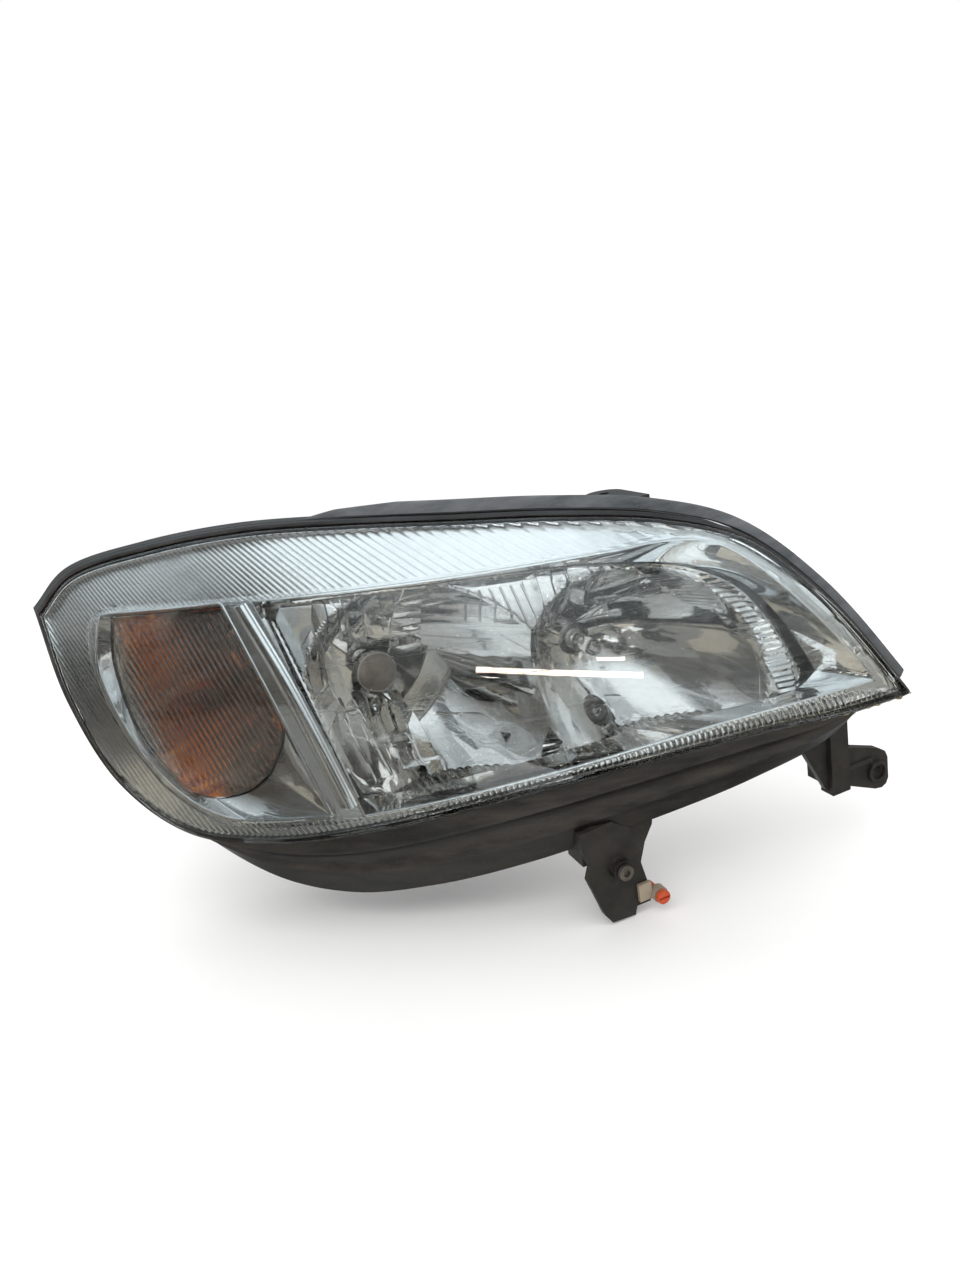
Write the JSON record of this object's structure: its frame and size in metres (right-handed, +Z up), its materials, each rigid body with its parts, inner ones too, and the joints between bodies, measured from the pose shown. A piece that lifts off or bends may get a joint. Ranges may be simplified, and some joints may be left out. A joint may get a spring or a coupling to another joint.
{
  "type": "car headlight assembly",
  "caption": "Car headlight with clear fluted lens, black housing, aimable twin-bowl chrome reflector, amber turn signal, rear covers, levelling motor and mounting brackets.",
  "frame": {"origin": "on the upper flat face of the top fixing lug, 13 mm in front of its bolt hole", "axes": "+Z up as fitted to the car, -Y the way the lamp shines, +X from the wing towards the middle of the car"},
  "size_m": [0.5159, 0.3963, 0.3],
  "materials": {
    "clear_plastic": "clear, polished",
    "bulb_glass": "clear, polished",
    "amber_glass": "amber, polished",
    "black_plastic": "matte, dusty",
    "grey_plastic": "matte",
    "beige_plastic": "matte",
    "red_plastic": "matte",
    "chrome_coat": "mirror bright, vacuum coated",
    "grey_metal": "satin, dark",
    "steel": "satin",
    "rubber": "matte"
  },
  "bodies": {
    "lamp_body": {"front_lens": "clear_plastic", "lens_seal": "rubber", "housing": "black_plastic", "bezel": "chrome_coat", "divider_bar": "chrome_coat", "turn_signal_reflector": "chrome_coat", "turn_signal_diffuser": "clear_plastic", "levelling_motor": "black_plastic", "motor_seal": "rubber", "pivot_stud": "steel", "inner_breather_cap": "rubber", "outer_breather_cap": "rubber", "wiring_socket": "black_plastic", "top_seal_strip": "rubber", "inner_tab": "black_plastic", "lower_bracket": "black_plastic", "lower_bracket_screw": "steel", "bracket_clip": "beige_plastic"},
    "side_wheel": {"side_adjuster_wheel": "grey_plastic"},
    "side_rod": {"side_adjuster_rod": "steel"},
    "height_wheel": {"height_adjuster_wheel": "grey_plastic"},
    "spindle": {"motor_spindle": "grey_plastic"},
    "pivot_cup": {"pivot_cup": "grey_plastic"},
    "reflector": {"reflector": "chrome_coat", "low_beam_glare_shield": "grey_metal", "low_beam_bulb": "bulb_glass", "low_beam_bulb_base": "steel", "low_beam_plug": "black_plastic", "high_beam_bulb": "bulb_glass", "high_beam_bulb_base": "steel", "high_beam_plug": "black_plastic"},
    "low_clip": {"low_beam_spring_clip": "steel"},
    "high_clip": {"high_beam_spring_clip": "steel"},
    "parking_holder": {"parking_bulb_holder": "grey_plastic", "parking_bulb": "bulb_glass"},
    "low_cover": {"low_beam_rear_cover": "black_plastic", "low_beam_cover_seal": "rubber"},
    "high_cover": {"high_beam_rear_cover": "black_plastic", "high_beam_cover_seal": "rubber"},
    "turn_holder_ring": {"turn_signal_holder_seal": "rubber"},
    "turn_holder": {"turn_signal_bulb_holder": "grey_plastic", "turn_signal_bulb": "amber_glass"},
    "pin": {"locking_pin": "red_plastic"}
  },
  "joints": [
    {"name": "side_adjuster_turn", "type": "hinge", "parent": "lamp_body", "child": "side_wheel", "pos_m": [-0.231, 0.105, -0.036], "axis": [0, 1, 0], "range_deg": [-765, 765]},
    {"name": "side_adjuster_slide", "type": "slide", "parent": "lamp_body", "child": "side_rod", "axis": [0, 1, 0], "range_m": [-0.00325, 0.00325]},
    {"name": "height_adjuster_turn", "type": "hinge", "parent": "lamp_body", "child": "height_wheel", "pos_m": [-0.107, 0.067, -0.144], "axis": [0, 1, 0], "range_deg": [-765, 765]},
    {"name": "levelling_spindle_slide", "type": "slide", "parent": "lamp_body", "child": "spindle", "axis": [0, 1, 0], "range_m": [-0.00325, 0.00325]},
    {"name": "reflector_yaw", "type": "hinge", "parent": "lamp_body", "child": "pivot_cup", "pos_m": [-0.107, 0.073, -0.018], "axis": [0, 0, 1], "range_deg": [-1.5, 1.5]},
    {"name": "reflector_pitch", "type": "hinge", "parent": "pivot_cup", "child": "reflector", "pos_m": [-0.107, 0.073, -0.018], "axis": [1, 0, 0], "range_deg": [-1.5, 1.5]},
    {"name": "low_beam_clip", "type": "hinge", "parent": "reflector", "child": "low_clip", "pos_m": [-0.176, 0.094, -0.109], "axis": [-1, 0, 0], "range_deg": [0, 75]},
    {"name": "high_beam_clip", "type": "hinge", "parent": "reflector", "child": "high_clip", "pos_m": [-0.045, 0.012, -0.111], "axis": [-1, 0, 0], "range_deg": [0, 75]},
    {"name": "parking_holder_pull", "type": "slide", "parent": "reflector", "child": "parking_holder", "axis": [0, 1, 0], "range_m": [0, 0.03]},
    {"name": "low_cover_pull", "type": "slide", "parent": "lamp_body", "child": "low_cover", "axis": [0.5269, 0.8499, 0], "range_m": [0, 0.06]},
    {"name": "high_cover_pull", "type": "slide", "parent": "lamp_body", "child": "high_cover", "axis": [0.5269, 0.8499, 0], "range_m": [0, 0.06]},
    {"name": "turn_holder_twist", "type": "hinge", "parent": "lamp_body", "child": "turn_holder_ring", "pos_m": [-0.299, 0.179, -0.105], "axis": [0, 1, 0], "range_deg": [0, 45]},
    {"name": "turn_holder_pull", "type": "slide", "parent": "turn_holder_ring", "child": "turn_holder", "axis": [0, 1, 0], "range_m": [0, 0.06]},
    {"name": "locking_pin_turn", "type": "hinge", "parent": "lamp_body", "child": "pin", "pos_m": [-0.0435, -0.068, -0.26], "axis": [0, 1, 0], "range_deg": [0, 90]}
  ],
  "couplings": [
    {"joint": "side_adjuster_slide", "follows": "side_adjuster_turn", "m_per_rad": 0.00023873},
    {"joint": "reflector_yaw", "follows": "side_adjuster_turn", "ratio": -0.0019253},
    {"joint": "levelling_spindle_slide", "follows": "height_adjuster_turn", "m_per_rad": 0.00023873},
    {"joint": "reflector_pitch", "follows": "height_adjuster_turn", "ratio": 0.0018947}
  ]
}
